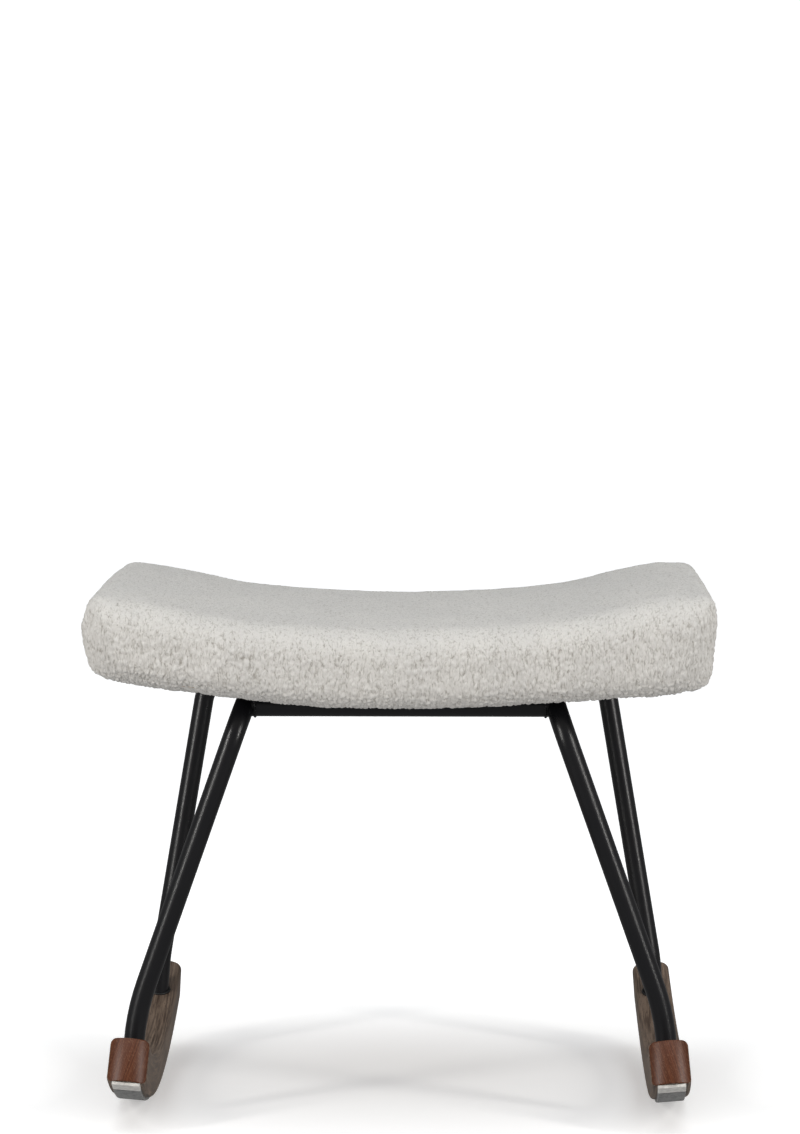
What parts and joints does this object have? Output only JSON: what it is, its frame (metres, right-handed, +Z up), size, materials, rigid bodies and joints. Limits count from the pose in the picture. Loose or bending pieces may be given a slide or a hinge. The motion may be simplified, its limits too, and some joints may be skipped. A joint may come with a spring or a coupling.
{
  "type": "rocking footstool",
  "caption": "Rocking footstool: a domed, saddle-shaped pad in curly cream fabric on a black bent-tube frame with two curved wooden rockers.",
  "frame": {"origin": "on the floor, under the middle of the stool", "axes": "+X across the stool to the right as seen from the front, +Y to the back, +Z up"},
  "size_m": [0.5502, 0.416, 0.4592],
  "materials": {
    "stained_wood": "satin, dark walnut stain",
    "felt_grey": "felt",
    "felt_pale": "felt",
    "black_coat": "satin powder coat",
    "black_rubber": "satin",
    "zinc_steel": "zinc plated",
    "plywood": "raw",
    "foam": "open-cell foam",
    "boucle": "curly pile",
    "black_cloth": "non-woven"
  },
  "bodies": {
    "root": {"rocker_left": "stained_wood", "felt_tab_left": "felt_pale", "felt_front_pad_left": "felt_grey", "felt_runner_left": "felt_grey", "felt_rear_pad_left": "felt_grey", "front_leg_left": "black_coat", "rocker_right": "stained_wood", "felt_tab_right": "felt_pale", "felt_front_pad_right": "felt_grey", "felt_runner_right": "felt_grey", "felt_rear_pad_right": "felt_grey", "front_leg_right": "black_coat", "rear_leg_frame": "black_coat", "front_cross_rail": "black_coat", "foot_collar_front_left": "black_rubber", "seat_bracket_front_left": "black_coat", "foot_collar_rear_left": "black_rubber", "seat_bracket_rear_left": "black_coat", "foot_collar_front_right": "black_rubber", "seat_bracket_front_right": "black_coat", "foot_collar_rear_right": "black_rubber", "seat_bracket_rear_right": "black_coat", "threaded_plugs": "zinc_steel", "rocker_bolts": "zinc_steel", "threaded_inserts": "zinc_steel", "seat_screws": "zinc_steel", "seat_shell": "plywood", "seat_foam": "foam", "seat_cover": "boucle", "dust_cover": "black_cloth", "cover_staples": "zinc_steel", "dust_cover_staples": "zinc_steel"}
  },
  "joints": []
}
